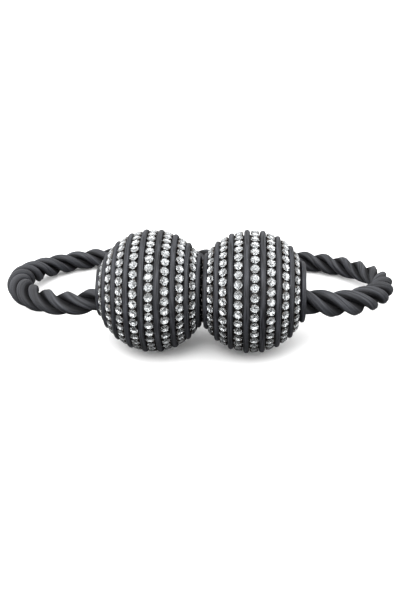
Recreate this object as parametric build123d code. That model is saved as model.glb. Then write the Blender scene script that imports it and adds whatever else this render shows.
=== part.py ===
from build123d import *
import math
import os

# Magnetic curtain tieback: two wound balls that meet at their magnets, and a rope loop.
# Millimetres. X runs along the balls, through both magnets. The balls meet at x = 0.
# Y points to the back, where the loop lies. Z is up and the tieback stands on z = 0.

# balls
ball_radius = 22.0
ball_half_width = 20.9
bead_depth = 2.0

# satin cord wound round the bead
cord_diameter = 2.3
cord_radius = cord_diameter / 2

# rings of stones, an even step of degrees apart on each ball, with a cord between two rings
left_step = 15.5
right_step = 16.1
strip_rings = 8
side_gap = 0.12
ring_pitch = math.radians(min(left_step, right_step)) * (min(ball_radius, ball_half_width) - cord_radius)
strip_width = ring_pitch - cord_diameter - 2 * side_gap

# stones in their cups
stone_overhang = 0.05
stone_diameter = strip_width + 2 * stone_overhang
stone_table_diameter = 0.56 * stone_diameter
stone_height = 0.70
stone_sides = 6
corner_reach = 1.07
stone_gap = 0.464
stone_spacing = stone_diameter + stone_gap
table_depth = 0.40

# magnets behind their covers, which fit inside the innermost ring of cups
cover_gap = 0.37
cover_thickness = 1.0
magnet_rim = 2.5
magnet_thickness = 4.0

# rope loop
rope_diameter = 8.8
rope_radius = rope_diameter / 2
mouth_gap = 0.1
loop_depth = 66.0
left_reach = 75.5
right_reach = 69.4

# Each ball: the side it lies on, the step between its rings and the latitude of its outermost
# stones in degrees, how many degrees further out its end cord lies and how deep, whether a cord
# closes its inner end, how far its face is from the middle of its innermost ring, and its rope.
left = {
    "name": "left",
    "side": -1,
    "ring_step": left_step,
    "outer_degrees": 61.1,
    "end_cord_degrees": 6.6,
    "end_cord_depth": 0.3,
    "inner_cord": True,
    "face_beyond_ring": cord_radius + 0.09,
    "rope_depth": 16.35,
    "rope_drop": 8.4,
    "rope_forward": 4.1,
    "rope_run": 12.9,
    "mouth_depth": 10.2,
}
right = {
    "name": "right",
    "side": 1,
    "ring_step": right_step,
    "outer_degrees": 51.2,
    "end_cord_degrees": 11.5,
    "end_cord_depth": 0.7,
    "inner_cord": False,
    "face_beyond_ring": strip_width / 2 - 0.41,
    "rope_depth": 18.1,
    "rope_drop": 13.2,
    "rope_forward": 2.7,
    "rope_run": 23.6,
    "mouth_depth": 10.9,
}


def on_ball(latitude, depth):
    """Reach along the axis and radius round it, a depth below the ball's outline."""
    angle = math.radians(latitude)
    reach = (ball_half_width - depth) * math.sin(angle)
    return reach, (ball_radius - depth) * math.cos(angle)


def slope_at(latitude):
    """Unit directions in a cut through the axis: along the bead, and out from it."""
    angle = math.radians(latitude)
    along_reach = (ball_half_width - bead_depth) * math.cos(angle)
    along_radius = -(ball_radius - bead_depth) * math.sin(angle)
    size = math.hypot(along_reach, along_radius)
    along = (along_reach / size, along_radius / size)
    return along, (-along[1], along[0])


def stone_latitudes(ball):
    return [ball["outer_degrees"] - ring * ball["ring_step"] for ring in range(strip_rings)]


def cord_latitudes(ball):
    """Cords lie midway between the rings of stones, and one may close the inner end."""
    between = [latitude - ball["ring_step"] / 2 for latitude in stone_latitudes(ball)]
    return between if ball["inner_cord"] else between[:-1]


def widest_cord(ball):
    return max(on_ball(latitude, cord_radius)[1] + cord_radius for latitude in cord_latitudes(ball))


axis_height = max(widest_cord(left), widest_cord(right))


def contact_reach(ball):
    """How far the plane where the balls meet is from the ball's middle."""
    if ball["inner_cord"]:
        innermost = on_ball(cord_latitudes(ball)[-1], cord_radius)[0]
    else:
        innermost = on_ball(stone_latitudes(ball)[-1], bead_depth)[0]
    return ball["face_beyond_ring"] - innermost


def placed(shape, ball):
    """A shape made with +Z as the outward axis, set on its ball."""
    seat = Plane(
        origin=(ball["side"] * contact_reach(ball), 0, axis_height),
        x_dir=(0, -1, 0),
        z_dir=(ball["side"], 0, 0),
    )
    return shape.moved(seat.location)


def save(shape, name):
    shape.label = name
    export_step(shape, f"parts/{name}.step")


# rope route

def rope_direction(ball):
    drop = math.radians(ball["rope_drop"])
    forward = math.radians(ball["rope_forward"])
    along = math.cos(drop) * math.cos(forward)
    return Vector(ball["side"] * along, -math.cos(drop) * math.sin(forward), -math.sin(drop))


def rope_start(ball):
    seat = ball_half_width - ball["rope_depth"]
    return Vector(ball["side"] * (contact_reach(ball) + seat), 0, axis_height)


def rope_route():
    """Corners of the rope's route, from the left bead round the back to the right bead."""
    fall = axis_height - rope_radius

    def corner(across, back, lift):
        reach = left_reach if across < 0 else right_reach
        return Vector(across * reach, back * loop_depth, rope_radius + lift * fall)

    middle = [
        corner(-0.654, 0.013, 0.685),
        corner(-0.892, 0.179, 0.493),
        corner(-1.00, 0.524, 0.263),
        corner(-0.882, 0.841, 0.0),
        corner(-0.605, 0.993, 0.0),
        corner(-0.053, 1.00, 0.0),
        corner(0.518, 0.965, 0.0),
        corner(0.833, 0.851, 0.0),
        corner(1.00, 0.555, 0.267),
        corner(0.928, 0.202, 0.558),
    ]
    left_exit = rope_start(left) + rope_direction(left) * left["rope_run"]
    right_exit = rope_start(right) + rope_direction(right) * right["rope_run"]
    return [rope_start(left), left_exit] + middle + [right_exit, rope_start(right)]


def bend_radii(route):
    radii = []
    for before, here, after in zip(route, route[1:], route[2:]):
        run_in = here - before
        run_out = after - here
        half_turn = math.radians(run_in.get_angle(run_out)) / 2
        shorter = min(run_in.length, run_out.length)
        radii.append(0.45 * shorter / math.tan(half_turn))
    return radii


def make_rope():
    route = rope_route()
    radii = bend_radii(route)
    path = FilletPolyline(*route, radius=radii)
    end = Plane(origin=route[0], z_dir=rope_direction(left))
    rope = sweep(end * Circle(rope_radius), path=path)
    runs = [(b - a).length for a, b in zip(route, route[1:])]
    print("rope runs", [round(run, 1) for run in runs])
    print("rope bend radii", [round(radius, 1) for radius in radii])
    section = math.pi * rope_radius ** 2
    print("rope length", round(path.length, 1), "volume ratio", rope.volume / (section * path.length))
    return rope


# bead

def point_between(start, finish, reach):
    """The point at a given reach on the line through two outline points."""
    part = (reach - start[1]) / (finish[1] - start[1])
    return start[0] + part * (finish[0] - start[0]), reach


def bead_profile(ball):
    """Half outline of the bead as radius and reach: one straight land under each ring of stones."""
    step = ball["ring_step"]
    stretch = 1 / math.cos(math.radians(step / 2))
    latitudes = stone_latitudes(ball)
    corners = []
    for latitude in [latitudes[0] + step] + latitudes:
        reach, radius = on_ball(latitude - step / 2, bead_depth)
        corners.append((radius * stretch, reach * stretch))
    face = cover_thickness - contact_reach(ball)
    end_cord_reach, end_cord_radius = cord_rings(ball)[0]
    end = end_cord_reach - 0.65 * cord_radius
    if corners[0][1] > end:
        corners[0] = point_between(corners[0], corners[1], end)
    else:
        corners.insert(0, (end_cord_radius, end))
    if corners[-1][1] < face:
        corners[-1] = point_between(corners[-2], corners[-1], face)
    else:
        corners.append((corners[-1][0], face))
    return [(0, end)] + corners + [(0, face)]


def make_bead(ball):
    outline = make_face(Plane.XZ * Polyline(*bead_profile(ball), close=True))
    bead = revolve(outline, axis=Axis.Z)
    for reach, radius in cord_rings(ball):
        bead -= Solid.make_torus(radius, cord_radius, Plane((0, 0, reach)))
    mouth_floor = ball_half_width - ball["mouth_depth"]
    mouth = Plane((0, 0, mouth_floor)) * Cylinder(
        cord_rings(ball)[0][1] - cord_radius - mouth_gap,
        ball_half_width,
        align=(Align.CENTER, Align.CENTER, Align.MIN),
    )
    bead = placed(bead - magnet_shape(ball) - mouth, ball)
    socket = Solid.make_cylinder(
        rope_radius, ball["rope_run"], Plane(origin=rope_start(ball), z_dir=rope_direction(ball))
    )
    return bead - socket


# cord rings

def cord_rings(ball):
    """Reach and radius of the middle of each cord ring, from the outer end inwards."""
    rings = [on_ball(ball["outer_degrees"] + ball["end_cord_degrees"], ball["end_cord_depth"])]
    for latitude in cord_latitudes(ball):
        rings.append(on_ball(latitude, cord_radius))
    return rings


def make_cord_ring(ball, reach, radius):
    return placed(Solid.make_torus(radius, cord_radius, Plane((0, 0, reach))), ball)


# stones and their strips of cups

def stone_count(latitude):
    radius = on_ball(latitude, table_depth + stone_height)[1]
    return round(2 * math.pi * radius / stone_spacing)


def flat_ring(section, count):
    """A ring of flat links: the section is repeated at each corner and joined by plane faces."""
    stretch = 1 / math.cos(math.pi / count)
    corners = []
    for step in range(count):
        angle = 2 * math.pi * (step - 0.5) / count
        across = (math.cos(angle) * stretch, math.sin(angle) * stretch)
        corners.append([Vector(radius * across[0], radius * across[1], reach) for reach, radius in section])
    faces = []
    for here, following in zip(corners, corners[1:] + corners[:1]):
        for side in range(len(section)):
            turn = (side + 1) % len(section)
            quad = [here[side], here[turn], following[turn], following[side]]
            faces.append(Face(Wire.make_polygon(quad, close=True)))
    return Solid(Shell(faces))


def strip_section(latitude):
    """Four corners of a strip: it lies flat on the bead's land."""
    along, out = slope_at(latitude)
    reach, radius = on_ball(latitude, bead_depth)
    height = bead_depth - table_depth - stone_height
    section = []
    for side, level in ((-1, 0), (1, 0), (1, 1), (-1, 1)):
        shift = side * strip_width / 2
        lift = level * height
        section.append((reach + shift * along[0] + lift * out[0], radius + shift * along[1] + lift * out[1]))
    return section


def make_cup_strip(ball, latitude):
    return placed(flat_ring(strip_section(latitude), stone_count(latitude)), ball)


def make_stone():
    """A six-sided stand-in for a round stone: its corners reach a little past the round."""
    girdle = RegularPolygon(corner_reach * stone_diameter / 2, stone_sides)
    table_size = corner_reach * stone_table_diameter / 2
    table = Plane((0, 0, stone_height)) * RegularPolygon(table_size, stone_sides)
    return loft([girdle.face(), table.face()], ruled=True).solid()


def make_stones(ball, latitude, stone):
    """One stone on each flat link of the strip, its table facing out."""
    along, out = slope_at(latitude)
    reach, radius = on_ball(latitude, bead_depth)
    height = bead_depth - table_depth - stone_height
    reach += height * out[0]
    radius += height * out[1]
    count = stone_count(latitude)
    stones = []
    for step in range(count):
        angle = 2 * math.pi * step / count
        seat = Plane(
            origin=(radius * math.cos(angle), radius * math.sin(angle), reach),
            x_dir=(-math.sin(angle), math.cos(angle), 0),
            z_dir=(out[1] * math.cos(angle), out[1] * math.sin(angle), out[0]),
        )
        stones.append(placed(stone.moved(seat.location), ball))
    return Compound(children=stones)


# magnet and cover

def cover_radius():
    innermost = min(on_ball(stone_latitudes(ball)[-1], bead_depth)[1] for ball in (left, right))
    return innermost - strip_width / 2 - cover_gap


def disc(reach, radius, thickness):
    return Plane((0, 0, reach)) * Cylinder(
        radius, thickness, align=(Align.CENTER, Align.CENTER, Align.MIN)
    )


def magnet_shape(ball):
    return disc(cover_thickness - contact_reach(ball), cover_radius() - magnet_rim, magnet_thickness)


def make_cover(ball):
    return placed(disc(-contact_reach(ball), cover_radius(), cover_thickness), ball)


def main():
    os.makedirs("parts", exist_ok=True)
    stone = make_stone()
    for ball in (left, right):
        name = ball["name"]
        save(make_bead(ball), f"{name}_bead")
        save(placed(magnet_shape(ball), ball), f"{name}_magnet")
        save(make_cover(ball), f"{name}_magnet_cover")
        for number, (reach, radius) in enumerate(cord_rings(ball), 1):
            save(make_cord_ring(ball, reach, radius), f"{name}_cord_ring_{number}")
        for number, latitude in enumerate(stone_latitudes(ball), 1):
            save(make_cup_strip(ball, latitude), f"{name}_cup_strip_{number}")
            save(make_stones(ball, latitude, stone), f"{name}_stones_{number}")
    save(make_rope(), "rope")


main()
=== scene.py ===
import math
import random

import bpy
from mathutils import Matrix, Vector, noise


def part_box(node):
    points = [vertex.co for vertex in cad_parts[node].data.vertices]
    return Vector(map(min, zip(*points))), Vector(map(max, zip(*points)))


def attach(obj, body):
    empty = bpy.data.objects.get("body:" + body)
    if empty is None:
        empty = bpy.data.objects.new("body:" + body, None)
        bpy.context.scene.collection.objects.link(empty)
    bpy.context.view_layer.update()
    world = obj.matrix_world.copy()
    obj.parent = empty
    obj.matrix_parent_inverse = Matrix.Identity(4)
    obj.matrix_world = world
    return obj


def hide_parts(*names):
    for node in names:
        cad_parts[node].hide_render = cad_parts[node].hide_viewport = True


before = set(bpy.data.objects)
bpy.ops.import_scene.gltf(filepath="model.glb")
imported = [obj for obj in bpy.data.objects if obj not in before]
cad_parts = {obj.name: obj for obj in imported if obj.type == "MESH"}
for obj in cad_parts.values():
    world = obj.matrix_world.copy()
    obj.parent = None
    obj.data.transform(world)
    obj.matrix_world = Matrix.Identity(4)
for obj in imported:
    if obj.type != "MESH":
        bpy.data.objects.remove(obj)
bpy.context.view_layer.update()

# Magnetic curtain tieback: two wound balls that meet at their magnets, and a twisted rope.
# Metres. X runs along the balls, which meet at x = 0, Y points to the back and Z is up.

MM = 0.001
TURN = 2 * math.pi

# balls
BALL_RADIUS = 22.0 * MM
BALL_HALF_WIDTH = 20.9 * MM
BEAD_DEPTH = 2.0 * MM
RINGS = 8
RING_STEP = {"left": 15.5, "right": 16.1}
OUTER_DEGREES = {"left": 61.1, "right": 51.2}
SIDE = {"left": -1, "right": 1}
CORD_RADIUS = 1.15 * MM
CORD_HALF_WIDTH = 1.07 * MM
END_CORD_PULL = {"left": 0.55 * MM, "right": 0.1 * MM}

# stones and cups
STONE_RADIUS = 1.53 * MM
STONE_SPACING = 3.367 * MM
STONE_HEIGHT = 0.68 * MM
CUP_HEIGHT = 0.9 * MM
CUP_HALF_WIDTH = 1.4 * MM

# rope: one full twist's length and the rope's fullness at some shares of its length, and its route
ROPE_DIAMETER = 8.8 * MM
STRANDS = 3
ROPE_LAYS = [
    (0.00, 28.5 * MM),
    (0.11, 27.5 * MM),
    (0.20, 22.6 * MM),
    (0.24, 20.7 * MM),
    (0.28, 24.0 * MM),
    (0.34, 23.6 * MM),
    (0.66, 24.6 * MM),
    (0.78, 26.5 * MM),
    (0.83, 25.0 * MM),
    (0.88, 28.6 * MM),
    (1.00, 29.2 * MM),
]
ROPE_START_TURN = math.radians(45)
ROPE_FULLNESS = [
    (0.00, 0.90),
    (0.09, 0.97),
    (0.18, 1.08),
    (0.25, 1.04),
    (0.32, 0.90),
    (0.72, 0.90),
    (0.78, 0.86),
    (0.82, 1.00),
    (0.87, 1.08),
    (1.00, 1.02),
]
ROPE_ROUTE = [
    (-0.02200, 0.0, 0.02193),
    (-0.03473, -0.00091, 0.01930),
    (-0.04938, 0.00086, 0.01500),
    (-0.06735, 0.01181, 0.01304),
    (-0.07550, 0.03458, 0.00901),
    (-0.06659, 0.05551, 0.00440),
    (-0.04568, 0.06554, 0.00425),
    (-0.00400, 0.06360, 0.00425),
    (0.03595, 0.06369, 0.00425),
    (0.05781, 0.05617, 0.00440),
    (0.06960, 0.03663, 0.00850),
    (0.06480, 0.01300, 0.01330),
    (0.04335, -0.00108, 0.01610),
    (0.02040, 0.0, 0.02193),
]


# camera

def place_camera():
    """Seen from a little above and slightly from the right, from a hand's reach away."""
    target = Vector((-0.78, 0, 18.27)) * MM
    distance = 345 * MM
    elevation = math.radians(27.9)
    swing = math.radians(3.25)
    roll = math.radians(-1.0)
    away = Vector((
        math.sin(swing) * math.cos(elevation),
        -math.cos(swing) * math.cos(elevation),
        math.sin(elevation),
    ))
    right = (-away).cross(Vector((0, 0, 1))).normalized()
    up = right.cross(-away)
    rolled_right = math.cos(roll) * right + math.sin(roll) * up
    rolled_up = math.cos(roll) * up - math.sin(roll) * right
    camera = bpy.data.objects.new("camera", bpy.data.cameras.new("camera"))
    camera.data.sensor_fit = "HORIZONTAL"
    camera.data.sensor_width = 36
    camera.data.lens = 86.85
    camera.data.clip_start = 0.01
    turn = Matrix((rolled_right, rolled_up, away)).transposed().to_4x4()
    camera.matrix_world = Matrix.Translation(target + away * distance) @ turn
    bpy.context.collection.objects.link(camera)
    bpy.context.scene.camera = camera


# shader helpers

class Nodes:
    """Short calls for the nodes of a material or of a node group."""

    def __init__(self, tree):
        self.tree = tree

    def add(self, kind, inputs=None, **settings):
        node = self.tree.nodes.new("ShaderNode" + kind)
        for name, value in settings.items():
            setattr(node, name, value)
        for name, value in (inputs or {}).items():
            self.feed(node.inputs[name], value)
        return node

    def feed(self, socket, value):
        if isinstance(value, bpy.types.NodeSocket):
            self.tree.links.new(value, socket)
        else:
            socket.default_value = value

    def math(self, operation, first, second=0.0, third=0.0):
        node = self.add("Math", {0: first, 1: second, 2: third}, operation=operation)
        return node.outputs[0]

    def spread(self, value, low, high, out_low=0.0, out_high=1.0):
        node = self.add("MapRange", {0: value, 1: low, 2: high, 3: out_low, 4: out_high})
        return node.outputs[0]

    def mix(self, factor, first, second):
        """The colour sockets of this node come after those for numbers and vectors."""
        node = self.add("Mix", data_type="RGBA")
        self.feed(node.inputs[0], factor)
        self.feed(node.inputs[6], first)
        self.feed(node.inputs[7], second)
        return node.outputs[2]

    def stretched(self, vector, scale):
        node = self.add("VectorMath", {0: vector, 1: scale}, operation="MULTIPLY")
        return node.outputs[0]

    def noise(self, vector, scale, detail=2.0, roughness=0.5, distortion=0.0):
        inputs = {
            "Vector": vector,
            "Scale": scale,
            "Detail": detail,
            "Roughness": roughness,
            "Distortion": distortion,
        }
        return self.add("TexNoise", inputs).outputs[0]

    def group(self, group, inputs):
        node = self.tree.nodes.new("ShaderNodeGroup")
        node.node_tree = group
        for name, value in inputs.items():
            self.feed(node.inputs[name], value)
        return node.outputs


def new_group(name, inputs, outputs):
    """An empty node group with named sockets; inputs give kind and starting value."""
    group = bpy.data.node_groups.new(name, "ShaderNodeTree")
    for label, (kind, value) in inputs.items():
        socket = group.interface.new_socket(label, in_out="INPUT", socket_type="NodeSocket" + kind)
        if value is not None:
            socket.default_value = value
    for label, kind in outputs.items():
        group.interface.new_socket(label, in_out="OUTPUT", socket_type="NodeSocket" + kind)
    nodes = Nodes(group)
    entry = group.nodes.new("NodeGroupInput").outputs
    leave = group.nodes.new("NodeGroupOutput").inputs
    return group, nodes, entry, leave


def new_material(name, color, metallic=0.0, **constants):
    material = bpy.data.materials.new(name)
    material.use_nodes = True
    nodes = Nodes(material.node_tree)
    shader = material.node_tree.nodes["Principled BSDF"]
    shader.inputs["Base Color"].default_value = (*color, 1)
    shader.inputs["Metallic"].default_value = metallic
    for label, value in constants.items():
        shader.inputs[label.replace("_", " ")].default_value = value
    material.diffuse_color = (*color, 1)
    return material, nodes, shader


# shared effects

def make_satin_threads():
    """Filaments and soft folds that run along a cord, from its own length and round coordinates, with a
    painted sheen on the raised folds.
    """
    group, nodes, entry, leave = new_group(
        "satin threads",
        {
            "Lay": ("Vector", None),
            "Fold Width": ("Float", 0.0007),
            "Fold Length": ("Float", 0.009),
            "Thread Width": ("Float", 0.00009),
            "Dark": ("Color", (0.03, 0.03, 0.035, 1)),
            "Light": ("Color", (0.12, 0.12, 0.13, 1)),
        },
        {"Color": "Color", "Roughness": "Float", "Height": "Float"},
    )
    lay = nodes.add("SeparateXYZ", {0: entry["Lay"]}).outputs
    along_folds = nodes.math("DIVIDE", lay[0], entry["Fold Length"])
    across_folds = nodes.math("DIVIDE", lay[1], entry["Fold Width"])
    fold_place = nodes.add("CombineXYZ", {0: along_folds, 1: across_folds, 2: 0.0}).outputs[0]
    folds = nodes.noise(fold_place, 1.0, 2.0, 0.55, 0.25)
    along_threads = nodes.math("DIVIDE", lay[0], nodes.math("MULTIPLY", entry["Thread Width"], 55.0))
    across_threads = nodes.math("DIVIDE", lay[1], entry["Thread Width"])
    thread_place = nodes.add("CombineXYZ", {0: along_threads, 1: across_threads, 2: 3.7}).outputs[0]
    threads = nodes.noise(thread_place, 1.0, 1.0, 0.5)
    mottle = nodes.noise(fold_place, 0.31, 3.0, 0.6, 0.8)
    # The tone rises with the same fold noise that raises the height, so raised folds are lighter: a
    # painted sheen. The threads and mottle add tone that differs at random.
    tone = nodes.math("MULTIPLY_ADD", folds, 0.62, nodes.math("MULTIPLY", threads, 0.22))
    tone = nodes.math("MULTIPLY_ADD", mottle, 0.28, tone)
    nodes.feed(leave["Color"], nodes.mix(nodes.spread(tone, 0.45, 0.67), entry["Dark"], entry["Light"]))
    uneven = nodes.math("ADD", threads, mottle)
    nodes.feed(leave["Roughness"], nodes.spread(uneven, 0.6, 1.4, 0.34, 0.52))
    fine = nodes.math("MULTIPLY", threads, 0.25)
    nodes.feed(leave["Height"], nodes.math("MULTIPLY_ADD", folds, 0.75, fine))
    return group


def make_metal_wear():
    """Fine scratches, tarnish in patches and brighter worn places, as masks."""
    group, nodes, entry, leave = new_group(
        "metal wear",
        {
            "Scale": ("Float", 900.0),
            "Clean": ("Color", (0.4, 0.39, 0.38, 1)),
            "Tarnish": ("Color", (0.1, 0.09, 0.085, 1)),
        },
        {"Color": "Color", "Roughness": "Float", "Height": "Float"},
    )
    place = nodes.add("TexCoord").outputs["Object"]
    patches = nodes.noise(place, nodes.math("MULTIPLY", entry["Scale"], 0.6), 4.0, 0.6, 0.4)
    grain = nodes.noise(place, nodes.math("MULTIPLY", entry["Scale"], 6.0), 2.0, 0.6)
    drawn = nodes.stretched(place, (1.0, 14.0, 14.0))
    scratches = nodes.noise(drawn, nodes.math("MULTIPLY", entry["Scale"], 1.5), 2.0, 0.5)
    wear_and_dark_tip = nodes.spread(nodes.math("MULTIPLY_ADD", scratches, 0.35, patches), 0.45, 0.85)
    nodes.feed(leave["Color"], nodes.mix(wear_and_dark_tip, entry["Tarnish"], entry["Clean"]))
    uneven = nodes.math("ADD", patches, grain)
    nodes.feed(leave["Roughness"], nodes.spread(uneven, 0.7, 1.3, 0.5, 0.26))
    fine = nodes.math("MULTIPLY", grain, 0.4)
    nodes.feed(leave["Height"], nodes.math("MULTIPLY_ADD", scratches, 0.6, fine))
    return group


# materials

# Painted shade: near-black laid into the grooves between the rope's strands and along the sides of each
# cord, where shade falls.
CREASE_SHADE_COLOR = (0.003, 0.003, 0.004, 1)


def bump(nodes, shader, height, distance):
    inputs = {"Height": height, "Distance": distance}
    nodes.feed(shader.inputs["Normal"], nodes.add("Bump", inputs).outputs[0])


def make_rope_satin(satin_threads):
    """Grey satin, with painted shade where one strand dips under the next."""
    material, nodes, shader = new_material(
        "rope satin",
        (0.025, 0.025, 0.028),
        Specular_IOR_Level=0.25,
        Anisotropic=0.35,
    )
    lay = nodes.add("UVMap", uv_map="lay").outputs[0]
    satin = nodes.group(satin_threads, {
        "Lay": lay,
        "Fold Width": 0.0009,
        "Fold Length": 0.016,
        "Thread Width": 0.00013,
        "Dark": (0.0110, 0.0115, 0.0135, 1),
        "Light": (0.050, 0.052, 0.060, 1),
    })
    # The mask lays painted shade into the grooves between the strands.
    crease_shade = nodes.add("Attribute", attribute_name="crease_shade").outputs["Fac"]
    shade = nodes.mix(crease_shade, satin["Color"], CREASE_SHADE_COLOR)
    nodes.feed(shader.inputs["Base Color"], shade)
    nodes.feed(shader.inputs["Roughness"], nodes.math("MULTIPLY_ADD", crease_shade, 0.3, satin["Roughness"]))
    bump(nodes, shader, satin["Height"], 0.00038)
    return material


def make_cord_satin(satin_threads):
    """The same satin on the thin wound cords, with smaller folds."""
    material, nodes, shader = new_material(
        "cord satin",
        (0.03, 0.03, 0.033),
        Specular_IOR_Level=0.25,
        Anisotropic=0.3,
    )
    lay = nodes.add("UVMap", uv_map="lay").outputs[0]
    satin = nodes.group(satin_threads, {
        "Lay": lay,
        "Fold Width": 0.0006,
        "Fold Length": 0.007,
        "Thread Width": 0.0001,
        "Dark": (0.0045, 0.0048, 0.0058, 1),
        "Light": (0.045, 0.047, 0.055, 1),
    })
    # Painted shade darkens the sides of each cord, where it dips between the rows of stones.
    crease_shade = nodes.add("Attribute", attribute_name="crease_shade").outputs["Fac"]
    nodes.feed(shader.inputs["Base Color"], nodes.mix(crease_shade, satin["Color"], CREASE_SHADE_COLOR))
    nodes.feed(shader.inputs["Roughness"], satin["Roughness"])
    bump(nodes, shader, satin["Height"], 0.0002)
    return material


def make_cup_metal(metal_wear):
    """Dark plated brass, a little browner where it is worn."""
    material, nodes, shader = new_material("cup metal", (0.07, 0.065, 0.06), 1.0)
    wear = nodes.group(metal_wear, {
        "Scale": 700.0,
        "Clean": (0.14, 0.125, 0.115, 1),
        "Tarnish": (0.040, 0.036, 0.034, 1),
    })
    nodes.feed(shader.inputs["Base Color"], wear["Color"])
    nodes.feed(shader.inputs["Roughness"], wear["Roughness"])
    bump(nodes, shader, wear["Height"], 0.00002)
    return material


def make_cover_metal(metal_wear):
    """Dark lacquered steel."""
    material, nodes, shader = new_material("cover metal", (0.07, 0.07, 0.075), 0.6)
    wear = nodes.group(metal_wear, {
        "Scale": 260.0,
        "Clean": (0.15, 0.15, 0.155, 1),
        "Tarnish": (0.045, 0.045, 0.05, 1),
    })
    nodes.feed(shader.inputs["Base Color"], wear["Color"])
    nodes.feed(shader.inputs["Roughness"], wear["Roughness"])
    bump(nodes, shader, wear["Height"], 0.00003)
    return material


def make_magnet_metal(metal_wear):
    """Nickel plating, tarnished in patches."""
    material, nodes, shader = new_material("magnet nickel", (0.55, 0.54, 0.52), 1.0)
    wear = nodes.group(metal_wear, {
        "Scale": 300.0,
        "Clean": (0.62, 0.61, 0.59, 1),
        "Tarnish": (0.36, 0.34, 0.31, 1),
    })
    nodes.feed(shader.inputs["Base Color"], wear["Color"])
    nodes.feed(shader.inputs["Roughness"], wear["Roughness"])
    bump(nodes, shader, wear["Height"], 0.00002)
    return material


def make_bead_dye():
    """Dark dyed wood with its grain along the ball's axis."""
    material, nodes, shader = new_material("dyed bead", (0.02, 0.02, 0.022), Specular_IOR_Level=0.3)
    place = nodes.stretched(nodes.add("TexCoord").outputs["Object"], (1.0, 7.0, 7.0))
    grain = nodes.noise(place, 260.0, 4.0, 0.6, 0.6)
    dark = (0.010, 0.010, 0.011, 1)
    light = (0.034, 0.033, 0.036, 1)
    nodes.feed(shader.inputs["Base Color"], nodes.mix(nodes.spread(grain, 0.3, 0.7), dark, light))
    nodes.feed(shader.inputs["Roughness"], nodes.spread(grain, 0.3, 0.7, 0.75, 0.5))
    bump(nodes, shader, grain, 0.00005)
    return material


def make_stone_glass():
    """Clear cut glass: the faint haze and scuffs of a pressed stone are in its roughness."""
    material, nodes, shader = new_material(
        "stone glass", (0.985, 0.99, 1.0), Transmission_Weight=1.0, IOR=1.56
    )
    place = nodes.add("TexCoord").outputs["Object"]
    haze = nodes.noise(place, 1400.0, 3.0, 0.6)
    tint = nodes.mix(nodes.spread(haze, 0.35, 0.75), (1.0, 1.0, 1.0, 1), (0.93, 0.95, 0.97, 1))
    nodes.feed(shader.inputs["Base Color"], tint)
    nodes.feed(shader.inputs["Roughness"], nodes.spread(haze, 0.5, 0.8, 0.0, 0.05))
    return material


def make_stone_foil():
    """The mirror foil on the back facets, a little uneven."""
    material, nodes, shader = new_material("stone foil", (0.6, 0.6, 0.61), 1.0)
    place = nodes.add("TexCoord").outputs["Object"]
    haze = nodes.noise(place, 1100.0, 2.0, 0.5)
    tint = nodes.mix(nodes.spread(haze, 0.3, 0.7), (0.70, 0.71, 0.71, 1), (0.47, 0.48, 0.49, 1))
    nodes.feed(shader.inputs["Base Color"], tint)
    nodes.feed(shader.inputs["Roughness"], nodes.spread(haze, 0.4, 0.8, 0.12, 0.25))
    return material


def make_painted_dark_tip():
    """A painted dark spot on the tip of a stone's back, which shows in its middle: painted shade
    standing in for the dark reflection a foiled stone shows there.
    """
    material, nodes, shader = new_material("painted dark tip", (0.01, 0.01, 0.01))
    place = nodes.add("TexCoord").outputs["Object"]
    grain = nodes.noise(place, 2600.0, 3.0, 0.6)
    dark = (0.002, 0.002, 0.002, 1)
    light = (0.02, 0.019, 0.018, 1)
    nodes.feed(shader.inputs["Base Color"], nodes.mix(grain, dark, light))
    nodes.feed(shader.inputs["Roughness"], nodes.spread(grain, 0.3, 0.7, 0.5, 0.8))
    return material


# mesh helpers

def new_piece(name, points, faces, materials, smooth=False, face_materials=None):
    """A dressed piece that is part of the one body."""
    mesh = bpy.data.meshes.new(name)
    mesh.from_pydata(points, [], faces)
    for material in materials:
        mesh.materials.append(material)
    if face_materials:
        mesh.polygons.foreach_set("material_index", face_materials)
    mesh.polygons.foreach_set("use_smooth", [smooth] * len(faces))
    piece = bpy.data.objects.new(name, mesh)
    bpy.context.collection.objects.link(piece)
    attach(piece, "root")
    return piece


def tube_faces(rings, sides, closed, start=0):
    """Faces between neighbouring rings of points; a tube that isn't closed gets flat ends."""
    faces = []
    for ring in range(rings if closed else rings - 1):
        here = start + ring * sides
        following = start + (ring + 1) % rings * sides
        for side in range(sides):
            turn = (side + 1) % sides
            faces.append((here + side, here + turn, following + turn, following + side))
    if not closed:
        faces.append(tuple(start + side for side in reversed(range(sides))))
        faces.append(tuple(start + (rings - 1) * sides + side for side in range(sides)))
    return faces


def write_lay(mesh, runs, ways, whole):
    """Length along and way round the cord for each corner; whole is once round the cord.

    A face that closes the round has corners near both ends of the way: its low ones move up a whole.
    """
    corners = [loop.vertex_index for loop in mesh.loops]
    layer = mesh.uv_layers.new(name="lay")
    places = []
    for polygon in mesh.polygons:
        turned = [ways[corners[corner]] for corner in polygon.loop_indices]
        wraps = max(turned) - min(turned) > 0.6 * whole
        for corner, way in zip(polygon.loop_indices, turned):
            places += [runs[corners[corner]], way + whole if wraps and way < 0.3 * whole else way]
    layer.data.foreach_set("uv", places)


def crease_shade_at(way, bare, fade):
    """How much painted shade a point gets: 0 where it faces out, 1 where it faces its neighbour."""
    facing_out = (1 - math.cos(way)) / 2
    return max(0.0, min(1.0, (bare - facing_out) / fade))


# The painted-shade mask, kept on the mesh for the satin materials.
def write_crease_shades(mesh, crease_shades):
    layer = mesh.attributes.new("crease_shade", "FLOAT", "POINT")
    layer.data.foreach_set("value", crease_shades)


# rope

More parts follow.
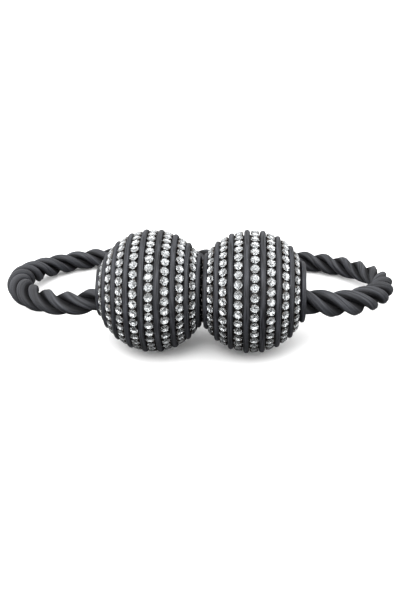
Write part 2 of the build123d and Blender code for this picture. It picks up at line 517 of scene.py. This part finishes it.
def rope_line():
    """Points along the rope's middle, read from one smooth curve over its route."""
    points_per_stretch = 44
    curve = bpy.data.curves.new("rope_route", "CURVE")
    curve.dimensions = "3D"
    curve.resolution_u = points_per_stretch
    spline = curve.splines.new("NURBS")
    spline.points.add(len(ROPE_ROUTE) - 1)
    for point, place in zip(spline.points, ROPE_ROUTE):
        point.co = (*place, 1)
    spline.order_u = 3
    spline.use_endpoint_u = True
    holder = bpy.data.objects.new("rope_route", curve)
    bpy.context.collection.objects.link(holder)
    mesh = bpy.data.meshes.new_from_object(holder)
    line = [vertex.co.copy() for vertex in mesh.vertices]
    bpy.data.objects.remove(holder)
    bpy.data.meshes.remove(mesh)
    return line


def tangent_at(line, index):
    before = line[max(index - 1, 0)]
    after = line[min(index + 1, len(line) - 1)]
    return (after - before).normalized()


def carried_frames(line):
    """Two directions square to a line at each of its points, which don't twist along it."""
    frames = []
    side = tangent_at(line, 0).orthogonal()
    for index in range(len(line)):
        tangent = tangent_at(line, index)
        side = (side - side.dot(tangent) * tangent).normalized()
        frames.append((side, tangent.cross(side)))
    return frames


def run_lengths(line):
    lengths = [0.0]
    for before, after in zip(line, line[1:]):
        lengths.append(lengths[-1] + (after - before).length)
    return lengths


def read_off(table, share):
    """The value at a share of the rope's length, on straight lines between the table's places."""
    for (low, first), (high, second) in zip(table, table[1:]):
        if share <= high:
            return first + (second - first) * (share - low) / (high - low)
    return table[-1][1]


def twist_at(lengths):
    """How far the rope has turned at each length, with the lay of each stretch."""
    turns = [ROPE_START_TURN]
    for before, after in zip(lengths, lengths[1:]):
        lay = read_off(ROPE_LAYS, (before + after) / 2 / lengths[-1])
        turns.append(turns[-1] + TURN * (after - before) / lay)
    return turns


def strand_fold(way, run, seed):
    """How far the satin stands in or out: a few long folds that wander round the strand."""
    drift = run / (60 * MM)
    wander = 0.7 * noise.noise(Vector((run / (15 * MM), seed, 0.3)))
    folds = abs(math.sin(2.0 * way + TURN * drift + wander + seed))
    usual_fold = 0.72
    slow = noise.noise(Vector((math.cos(way) * 1.4, math.sin(way) * 1.4, run / (8 * MM) + 9 * seed)))
    return 0.13 * (folds - usual_fold) + 0.035 * slow


def strand_middle(strand, line, twist, fullness):
    """Points along the middle of one strand, which winds round the rope's line."""
    offset = 0.54 * ROPE_DIAMETER / 2
    middle = []
    for point, (side, across), turn, full in zip(line, carried_frames(line), twist, fullness):
        angle = TURN * strand / STRANDS + turn
        middle.append(point + full * offset * (math.cos(angle) * side + math.sin(angle) * across))
    return middle


def strand_directions(middle, line, index):
    """At one point of a strand: towards the rope's line, and across."""
    tangent = tangent_at(middle, index)
    inward = line[index] - middle[index]
    inward = (inward - inward.dot(tangent) * tangent).normalized()
    return inward, tangent.cross(inward)


def make_rope(material):
    """Three satin strands laid right-handed round the rope's line."""
    sides = 40
    strand_height = 0.49 * ROPE_DIAMETER / 2
    strand_width = 0.87 * strand_height
    # How much of a strand faces out clear of the painted shade, and how soft the edge of the shade is.
    bare, fade = 0.88, 0.30
    line = rope_line()
    lengths = run_lengths(line)
    twist = twist_at(lengths)
    fullness = [read_off(ROPE_FULLNESS, length / lengths[-1]) for length in lengths]
    points, faces, runs, ways, crease_shades = [], [], [], [], []
    for strand in range(STRANDS):
        middle = strand_middle(strand, line, twist, fullness)
        faces += tube_faces(len(middle), sides, False, len(points))
        for index, centre in enumerate(middle):
            inward, across = strand_directions(middle, line, index)
            for step in range(sides):
                way = TURN * step / sides
                swell = fullness[index] * (1 + strand_fold(way, lengths[index], strand))
                out = strand_height * math.cos(way) * inward + strand_width * math.sin(way) * across
                points.append(centre + swell * out)
                runs.append(lengths[index] + strand)
                ways.append(way * strand_height)
                crease_shades.append(crease_shade_at(way, bare, fade))
    rope = new_piece("satin_rope", points, faces, [material], smooth=True)
    write_lay(rope.data, runs, ways, TURN * strand_height)
    write_crease_shades(rope.data, crease_shades)
    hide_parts("rope")


# places on the balls

def on_ball(latitude, depth):
    """Reach along the axis and radius round it, a depth below the ball's outline."""
    angle = math.radians(latitude)
    return (BALL_HALF_WIDTH - depth) * math.sin(angle), (BALL_RADIUS - depth) * math.cos(angle)


def slope_at(latitude):
    """Unit directions in a cut through the axis: along the bead, and out from it."""
    angle = math.radians(latitude)
    along_reach = (BALL_HALF_WIDTH - BEAD_DEPTH) * math.cos(angle)
    along_radius = -(BALL_RADIUS - BEAD_DEPTH) * math.sin(angle)
    size = math.hypot(along_reach, along_radius)
    return (along_reach / size, along_radius / size), (-along_radius / size, along_reach / size)


def ring_place(node):
    """Middle and radius of a cord ring, read from its CAD node."""
    low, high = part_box(node)
    middle = (Vector(low) + Vector(high)) / 2
    return middle, (high[2] - low[2]) / 2 - CORD_RADIUS


def ball_middle(ball):
    """The ball's middle, worked back from its first full cord ring."""
    middle, _ = ring_place(f"{ball}_cord_ring_2")
    latitude = OUTER_DEGREES[ball] - RING_STEP[ball] / 2
    middle.x -= SIDE[ball] * on_ball(latitude, CORD_RADIUS)[0]
    return middle


# cord rings

def make_cord_ring(ball, number, material):
    """One turn of satin cord, not quite even, with soft folds along it."""
    node = f"{ball}_cord_ring_{number}"
    middle, radius = ring_place(node)
    if number == 1:
        middle.x -= SIDE[ball] * END_CORD_PULL[ball]
    sides = 20
    rings = 3 * round(TURN * radius / (2.4 * MM))
    sway_reach = 0.05 * MM
    # How much of a cord faces out clear of the painted shade, and how soft the edge of the shade is.
    bare, fade = 0.92, 0.35
    seed = number + (20 if ball == "right" else 0)
    points, runs, ways, crease_shades = [], [], [], []
    for ring in range(rings):
        angle = TURN * ring / rings - math.pi / 2
        around = Vector((0, math.cos(angle), math.sin(angle)))
        loop = Vector((2.2 * math.cos(angle), 2.2 * math.sin(angle), seed))
        sway = sway_reach * noise.noise(loop)
        for step in range(sides):
            way = TURN * step / sides
            fold = abs(math.sin(2.5 * way + 0.8 * noise.noise(2.1 * loop) + seed)) - 0.6
            slow = noise.noise(Vector((4 * loop.x, 4 * loop.y, 1.2 * math.cos(way) + seed)))
            swell = 0.985 + 0.022 * fold + 0.018 * slow
            out = -CORD_RADIUS * math.cos(way) * around
            out += CORD_HALF_WIDTH * math.sin(way) * Vector((1, 0, 0))
            points.append(middle + radius * around + swell * out + Vector((sway, 0, 0)))
            runs.append(angle * radius + seed)
            ways.append(way * CORD_RADIUS)
            crease_shades.append(crease_shade_at(way, bare, fade))
    faces = tube_faces(rings, sides, True)
    cord = new_piece(f"{node}_satin", points, faces, [material], smooth=True)
    write_lay(cord.data, runs, ways, TURN * CORD_RADIUS)
    write_crease_shades(cord.data, crease_shades)
    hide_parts(node)


# stones

def ring_of(radius, height, count, turn=0.0):
    """Points evenly round a circle, from a part of a step on."""
    places = []
    for step in range(count):
        angle = TURN * (step + turn) / count
        places.append(Vector((radius * math.cos(angle), radius * math.sin(angle), height)))
    return places


def stone_shape():
    """A round cut stone: table, stars, kites and girdle facets over a pointed foiled back."""
    girdle_height = 0.26 * MM
    girdle_thickness = 0.07 * MM
    back_drop = 0.16 * MM
    tip_height = -0.24 * MM
    crown_height = 0.52 * STONE_HEIGHT + 0.48 * girdle_height
    table = ring_of(0.54 * STONE_RADIUS, STONE_HEIGHT, 8)
    crown = ring_of(0.80 * STONE_RADIUS, crown_height, 8, 0.5)
    girdle = ring_of(STONE_RADIUS, girdle_height, 16)
    belt = ring_of(STONE_RADIUS, girdle_height - girdle_thickness, 16)
    back = ring_of(0.62 * STONE_RADIUS, girdle_height - back_drop, 8, 0.5)
    tip = ring_of(0.13 * STONE_RADIUS, tip_height, 8)
    points = table + crown + girdle + belt + back + tip
    first_crown, first_girdle, first_belt, first_back, first_tip = 8, 16, 32, 48, 56
    glass = [tuple(range(8))]
    foil = []
    for step in range(8):
        following = (step + 1) % 8
        corner = first_girdle + 2 * step
        between = corner + 1
        after = first_girdle + (2 * step + 2) % 16
        glass.append((step, first_crown + step, following))
        glass.append((following, first_crown + step, after, first_crown + following))
        glass.append((first_crown + step, corner, between))
        glass.append((first_crown + step, between, after))
        low = first_belt + 2 * step
        low_after = first_belt + (2 * step + 2) % 16
        foil.append((low, first_back + step, low + 1))
        foil.append((low + 1, first_back + step, low_after))
        foil.append((low_after, first_back + step, first_tip + following, first_back + following))
        foil.append((first_back + step, first_tip + step, first_tip + following))
    for step in range(16):
        high, low = first_girdle + step, first_belt + step
        high_after, low_after = first_girdle + (step + 1) % 16, first_belt + (step + 1) % 16
        glass.append((high, low, low_after, high_after))
    # The tip facets take the painted dark spot.
    wear_and_dark_tip = [tuple(range(first_tip + 7, first_tip - 1, -1))]
    return points, glass, foil, wear_and_dark_tip


def stone_count(latitude):
    radius = on_ball(latitude, BEAD_DEPTH - CUP_HEIGHT)[1]
    return round(TURN * radius / STONE_SPACING)


def seats(ball, ring):
    """Where each stone of a ring sits: Z out of the bead, X along the ring."""
    latitude = OUTER_DEGREES[ball] - ring * RING_STEP[ball]
    along, out = slope_at(latitude)
    reach, radius = on_ball(latitude, BEAD_DEPTH)
    reach += CUP_HEIGHT * out[0]
    radius += CUP_HEIGHT * out[1]
    side = SIDE[ball]
    middle = ball_middle(ball)
    count = stone_count(latitude)
    places = []
    for step in range(count):
        angle = TURN * step / count
        round_y = -side * math.sin(angle)
        round_z = -math.cos(angle)
        axis = Vector((side * out[0], out[1] * round_y, out[1] * round_z))
        forward = Vector((0, -side * math.cos(angle), math.sin(angle)))
        origin = middle + Vector((side * reach, radius * round_y, radius * round_z))
        turn = Matrix((forward, axis.cross(forward), axis)).transposed().to_4x4()
        places.append(Matrix.Translation(origin) @ turn)
    return places


def make_stones(ball, ring, shape, stone_materials):
    """A ring of stones, each turned and tipped a little on its own."""
    most_tip = 3.0
    chance = random.Random(100 * ring + len(ball))
    shape_points, *kinds_of_faces = shape
    points, faces, kinds = [], [], []
    for place in seats(ball, ring):
        tip = Matrix.Rotation(math.radians(chance.uniform(-most_tip, most_tip)), 4, "X")
        tip = tip @ Matrix.Rotation(math.radians(chance.uniform(-most_tip, most_tip)), 4, "Y")
        turn = place @ tip @ Matrix.Rotation(chance.uniform(0, TURN), 4, "Z")
        start = len(points)
        points += [turn @ point for point in shape_points]
        for kind, group in enumerate(kinds_of_faces):
            faces += [tuple(start + corner for corner in face) for face in group]
            kinds += [kind] * len(group)
    node = f"{ball}_stones_{ring + 1}"
    stones = new_piece(f"{node}_cut", points, faces, stone_materials, False, kinds)
    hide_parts(node)


# cups

def cup_shape():
    """One open cup with four bent claws and half a link at each end."""
    points, faces = [], []
    sides = 16
    wall = [
        (0.62 * CUP_HALF_WIDTH, -CUP_HEIGHT),
        (0.93 * CUP_HALF_WIDTH, -0.72 * CUP_HEIGHT),
        (0.98 * CUP_HALF_WIDTH, 0.04 * MM),
        (0.90 * CUP_HALF_WIDTH, 0.06 * MM),
        (0.84 * CUP_HALF_WIDTH, -0.6 * CUP_HEIGHT),
        (0.50 * CUP_HALF_WIDTH, -0.92 * CUP_HEIGHT),
    ]
    for radius, height in wall:
        points += ring_of(radius, height, sides)
    for level in range(len(wall) - 1):
        for side in range(sides):
            turn = (side + 1) % sides
            here = level * sides
            faces.append((here + side, here + turn, here + sides + turn, here + sides + side))
    faces.append(tuple(reversed(range(sides))))
    last = (len(wall) - 1) * sides
    faces.append(tuple(last + side for side in range(sides)))
    for quarter in range(4):
        add_claw(points, faces, math.radians(45 + 90 * quarter))
    add_bar(points, faces)
    return points, faces


def add_claw(points, faces, angle):
    """A tapered tab that rises outside the girdle and bends in over it."""
    bend = [
        (0.95 * CUP_HALF_WIDTH, -0.55 * MM, 0.52 * MM),
        (1.15 * CUP_HALF_WIDTH, -0.10 * MM, 0.48 * MM),
        (1.19 * CUP_HALF_WIDTH, 0.18 * MM, 0.38 * MM),
        (1.12 * CUP_HALF_WIDTH, 0.36 * MM, 0.24 * MM),
        (1.02 * CUP_HALF_WIDTH, 0.46 * MM, 0.12 * MM),
    ]
    out = Vector((math.cos(angle), math.sin(angle), 0))
    across = Vector((-math.sin(angle), math.cos(angle), 0))
    start = len(points)
    thickness = 0.13 * MM
    inner_drop = 0.05 * MM
    for radius, height, half_width in bend:
        for inset, side in ((0, -1), (0, 1), (1, 1), (1, -1)):
            place = out * (radius - inset * thickness) + across * side * half_width
            points.append(place + Vector((0, 0, height - inset * inner_drop)))
    for level in range(len(bend) - 1):
        here = start + 4 * level
        for side in range(4):
            turn = (side + 1) % 4
            faces.append((here + side, here + turn, here + 4 + turn, here + 4 + side))
    faces.append((start + 3, start + 2, start + 1, start))
    end = start + 4 * (len(bend) - 1)
    faces.append((end, end + 1, end + 2, end + 3))


def add_bar(points, faces):
    """The flat link under the cup, which meets the next cup's link."""
    half_length = 0.53 * STONE_SPACING
    half_width = 0.5 * MM
    low = -0.98 * CUP_HEIGHT
    high = -0.80 * CUP_HEIGHT
    start = len(points)
    for height in (low, high):
        for x, y in ((-1, -1), (1, -1), (1, 1), (-1, 1)):
            points.append(Vector((x * half_length, y * half_width, height)))
    for side in range(4):
        turn = (side + 1) % 4
        faces.append((start + side, start + turn, start + 4 + turn, start + 4 + side))
    faces.append((start + 4, start + 5, start + 6, start + 7))
    faces.append((start + 3, start + 2, start + 1, start))


def make_cups(ball, ring, shape, material):
    """A ring of joined cups, one under each stone."""
    shape_points, shape_faces = shape
    points, faces = [], []
    for place in seats(ball, ring):
        start = len(points)
        points += [place @ point for point in shape_points]
        faces += [tuple(start + corner for corner in face) for face in shape_faces]
    node = f"{ball}_cup_strip_{ring + 1}"
    cups = new_piece(f"{node}_cups", points, faces, [material])
    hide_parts(node)


# parts kept from the frame

def dress(node, material):
    for slot in bpy.data.objects[node].material_slots:
        slot.material = material


# studio

def make_floor():
    """White paper. It throws less light back on the tieback than the camera sees on it."""
    thrown_back = (0.12, 0.12, 0.12, 1)
    paper = (0.93, 0.93, 0.93, 1)
    material, nodes, shader = new_material("white paper", paper[:3], Specular_IOR_Level=0.15)
    place = nodes.add("TexCoord").outputs["Object"]
    fibre = nodes.noise(place, 500.0, 3.0, 0.6)
    seen = nodes.add("LightPath").outputs["Is Camera Ray"]
    nodes.feed(shader.inputs["Base Color"], nodes.mix(seen, thrown_back, paper))
    nodes.feed(shader.inputs["Roughness"], nodes.spread(fibre, 0.3, 0.7, 0.85, 0.95))
    mesh = bpy.data.meshes.new("floor")
    half = 3.0
    corners = [(-half, -half, 0), (half, -half, 0), (half, half, 0), (-half, half, 0)]
    mesh.from_pydata(corners, [], [(0, 1, 2, 3)])
    mesh.materials.append(material)
    floor = bpy.data.objects.new("floor", mesh)
    bpy.context.collection.objects.link(floor)


def add_light(name, place, aim, size, power):
    light = bpy.data.lights.new(name, "AREA")
    light.shape = "RECTANGLE"
    light.size, light.size_y = size
    light.energy = power
    lamp = bpy.data.objects.new(name, light)
    direction = Vector(aim) - Vector(place)
    lamp.location = place
    lamp.rotation_euler = direction.to_track_quat("-Z", "Y").to_euler()
    bpy.context.collection.objects.link(lamp)


def light_studio():
    """A pale room, dim at the back and dark behind the camera, with two soft boxes."""
    bpy.context.scene.view_settings.view_transform = "Standard"
    world = bpy.data.worlds.new("studio")
    bpy.context.scene.world = world
    world.use_nodes = True
    nodes = Nodes(world.node_tree)
    place = nodes.add("TexCoord").outputs["Generated"]
    to_camera = bpy.context.scene.camera.matrix_world.to_3x3() @ Vector((0, 0, 1))
    facing = nodes.add("VectorMath", {0: place, 1: to_camera}, operation="DOT_PRODUCT").outputs["Value"]
    dark = nodes.spread(facing, 0.92, 0.985)
    walls = nodes.mix(nodes.spread(facing, -0.6, 0.4), (0.38, 0.38, 0.38, 1), (1, 1, 1, 1))
    color = nodes.mix(dark, walls, (0.03, 0.03, 0.03, 1))
    background = world.node_tree.nodes["Background"]
    nodes.feed(background.inputs["Color"], color)
    background.inputs["Strength"].default_value = 2.6
    add_light("key", (-0.12, -0.49, 0.63), (0, 0, 0.01), (0.34, 0.34), 2.5)
    add_light("top", (0.0, -0.10, 0.80), (0, 0.03, 0), (0.9, 0.6), 0.8)


place_camera()
light_studio()
make_floor()
satin_threads = make_satin_threads()
metal_wear = make_metal_wear()
make_rope(make_rope_satin(satin_threads))

cord_satin = make_cord_satin(satin_threads)
cup_metal = make_cup_metal(metal_wear)
stone_glass = make_stone_glass()
stone_foil = make_stone_foil()
painted_dark_tip = make_painted_dark_tip()
bead_dye = make_bead_dye()
magnet_metal = make_magnet_metal(metal_wear)
cover_metal = make_cover_metal(metal_wear)
cut_stone = stone_shape()
claw_cup = cup_shape()
for ball, cords in (("left", 9), ("right", 8)):
    for number in range(1, cords + 1):
        make_cord_ring(ball, number, cord_satin)
    for ring in range(RINGS):
        make_stones(ball, ring, cut_stone, [stone_glass, stone_foil, painted_dark_tip])
        make_cups(ball, ring, claw_cup, cup_metal)
    dress(f"{ball}_bead", bead_dye)
    dress(f"{ball}_magnet", magnet_metal)
    dress(f"{ball}_magnet_cover", cover_metal)
